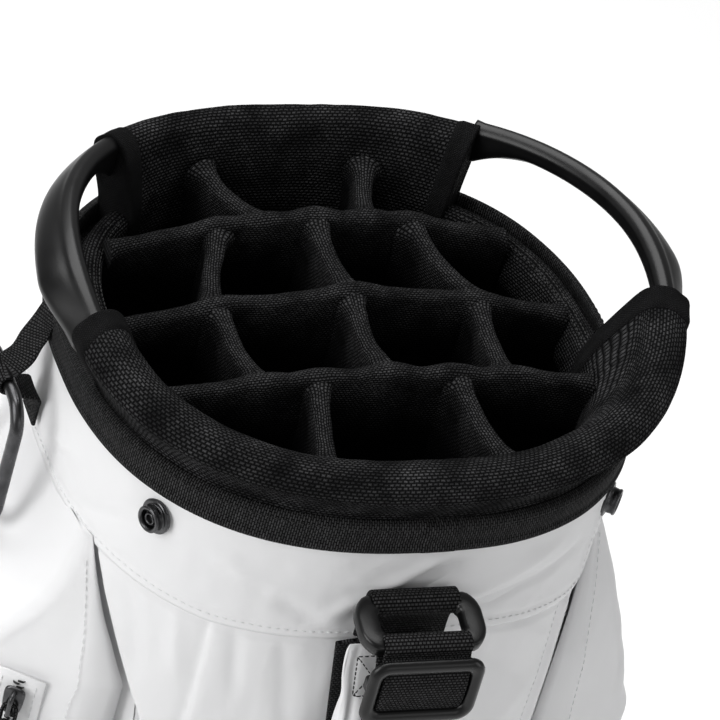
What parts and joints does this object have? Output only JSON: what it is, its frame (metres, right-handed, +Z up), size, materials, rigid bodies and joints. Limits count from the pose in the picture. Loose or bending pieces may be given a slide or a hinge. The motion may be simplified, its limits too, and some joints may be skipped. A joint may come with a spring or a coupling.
{
  "type": "golf staff bag",
  "caption": "Upright golf bag with a padded club organiser top, moulded side handles, zipped pockets, a towel ring and a shoulder strap.",
  "frame": {"origin": "on the ground under the middle of the bag's tube", "axes": "+Z up the tube, -Y towards the shoulder strap, +X to the bag's right as seen from the strap"},
  "size_m": [0.3368, 0.3366, 0.882],
  "materials": {
    "white_fabric": "matt coated nylon",
    "spacer_mesh": "knitted spacer mesh",
    "divider_cloth": "knitted mesh over foam",
    "binding_cloth": "plain woven tape",
    "webbing": "ribbed woven webbing",
    "zip_tape": "woven tape with coil",
    "black_plastic": "satin moulded",
    "rubber_sole": "matt",
    "gunmetal": "dark polished plating",
    "aluminium_stay": "satin drawn"
  },
  "bodies": {
    "bag": {"apparel_pocket_left": "white_fabric", "apparel_pocket_right": "white_fabric", "ball_pocket": "white_fabric", "base_boot": "black_plastic", "base_sole": "rubber_sole", "body_shell": "white_fabric", "collar_piping": "webbing", "cuff_binding_front_left": "binding_cloth", "cuff_binding_front_right": "binding_cloth", "cuff_binding_rear_left": "binding_cloth", "cuff_binding_rear_right": "binding_cloth", "divider_front_left": "divider_cloth", "divider_front_right": "divider_cloth", "divider_rear_left": "divider_cloth", "divider_rear_right": "divider_cloth", "divider_row_front": "divider_cloth", "divider_row_middle": "divider_cloth", "divider_row_rear": "divider_cloth", "divider_second_left": "divider_cloth", "divider_second_middle": "divider_cloth", "divider_second_right": "divider_cloth", "divider_third_left": "divider_cloth", "divider_third_middle": "divider_cloth", "divider_third_right": "divider_cloth", "frame_stay_left": "aluminium_stay", "frame_stay_right": "aluminium_stay", "front_cuff": "spacer_mesh", "handle_left": "black_plastic", "handle_right": "black_plastic", "hood_snap_front_left": "gunmetal", "hood_snap_front_right": "gunmetal", "hood_snap_rear_left": "gunmetal", "hood_snap_rear_right": "gunmetal", "rear_cuff": "spacer_mesh", "side_rim_left": "spacer_mesh", "side_rim_right": "spacer_mesh", "spine_panel": "white_fabric", "strap_anchor": "webbing", "strap_loop": "black_plastic", "top_frame": "black_plastic", "towel_loop": "webbing", "valuables_pocket": "white_fabric", "yoke_band": "white_fabric", "zip_tape_apparel_left": "zip_tape", "zip_tape_apparel_right": "zip_tape", "zip_tape_ball": "zip_tape", "zip_tape_valuables": "zip_tape"},
    "slider_apparel_left": {"zip_slider_apparel_left": "gunmetal"},
    "puller_apparel_left": {"zip_puller_apparel_left": "black_plastic"},
    "slider_apparel_right": {"zip_slider_apparel_right": "gunmetal"},
    "puller_apparel_right": {"zip_puller_apparel_right": "black_plastic"},
    "slider_ball": {"zip_slider_ball": "gunmetal"},
    "puller_ball": {"zip_puller_ball": "black_plastic"},
    "slider_valuables": {"zip_slider_valuables": "gunmetal"},
    "puller_valuables": {"zip_puller_valuables": "black_plastic"},
    "towel_ring": {"towel_ring": "gunmetal"},
    "strap": {"strap_webbing": "webbing", "strap_pad": "white_fabric", "strap_tail": "webbing"},
    "strap_slider": {"strap_slider": "black_plastic"}
  },
  "joints": [
    {"name": "zip_slide_apparel_left", "type": "slide", "parent": "bag", "child": "slider_apparel_left", "axis": [0, 0, -1], "range_m": [0, 0.565]},
    {"name": "zip_puller_apparel_left", "type": "hinge", "parent": "slider_apparel_left", "child": "puller_apparel_left", "pos_m": [-0.13736, -0.07157, 0.7065], "axis": [-0.8192, 0.5736, 0], "range_deg": [0, 165]},
    {"name": "zip_slide_apparel_right", "type": "slide", "parent": "bag", "child": "slider_apparel_right", "axis": [0, 0, -1], "range_m": [0, 0.497]},
    {"name": "zip_puller_apparel_right", "type": "hinge", "parent": "slider_apparel_right", "child": "puller_apparel_right", "pos_m": [0.13736, -0.07157, 0.6385], "axis": [-0.8192, -0.5736, 0], "range_deg": [0, 165]},
    {"name": "zip_slide_ball", "type": "slide", "parent": "bag", "child": "slider_ball", "axis": [0, 0, -1], "range_m": [0, 0.12]},
    {"name": "zip_puller_ball", "type": "hinge", "parent": "slider_ball", "child": "puller_ball", "pos_m": [0.045, 0.183, 0.2365], "axis": [1, 0, 0], "range_deg": [0, 165]},
    {"name": "zip_slide_valuables", "type": "slide", "parent": "bag", "child": "slider_valuables", "axis": [0, 0, -1], "range_m": [0, 0.112]},
    {"name": "zip_puller_valuables", "type": "hinge", "parent": "slider_valuables", "child": "puller_valuables", "pos_m": [0.038, 0.157, 0.5785], "axis": [1, 0, 0], "range_deg": [0, 165]},
    {"name": "towel_ring_swing", "type": "hinge", "parent": "bag", "child": "towel_ring", "pos_m": [-0.138, 0.012, 0.812], "axis": [0, 1, 0], "range_deg": [-4, 105]},
    {"name": "strap_lift", "type": "hinge", "parent": "bag", "child": "strap", "pos_m": [0, -0.1405, 0.796], "axis": [-1, 0, 0], "range_deg": [0, 4]},
    {"name": "strap_adjust", "type": "slide", "parent": "strap", "child": "strap_slider", "axis": [0, 0, -1], "range_m": [0, 0.14]}
  ]
}
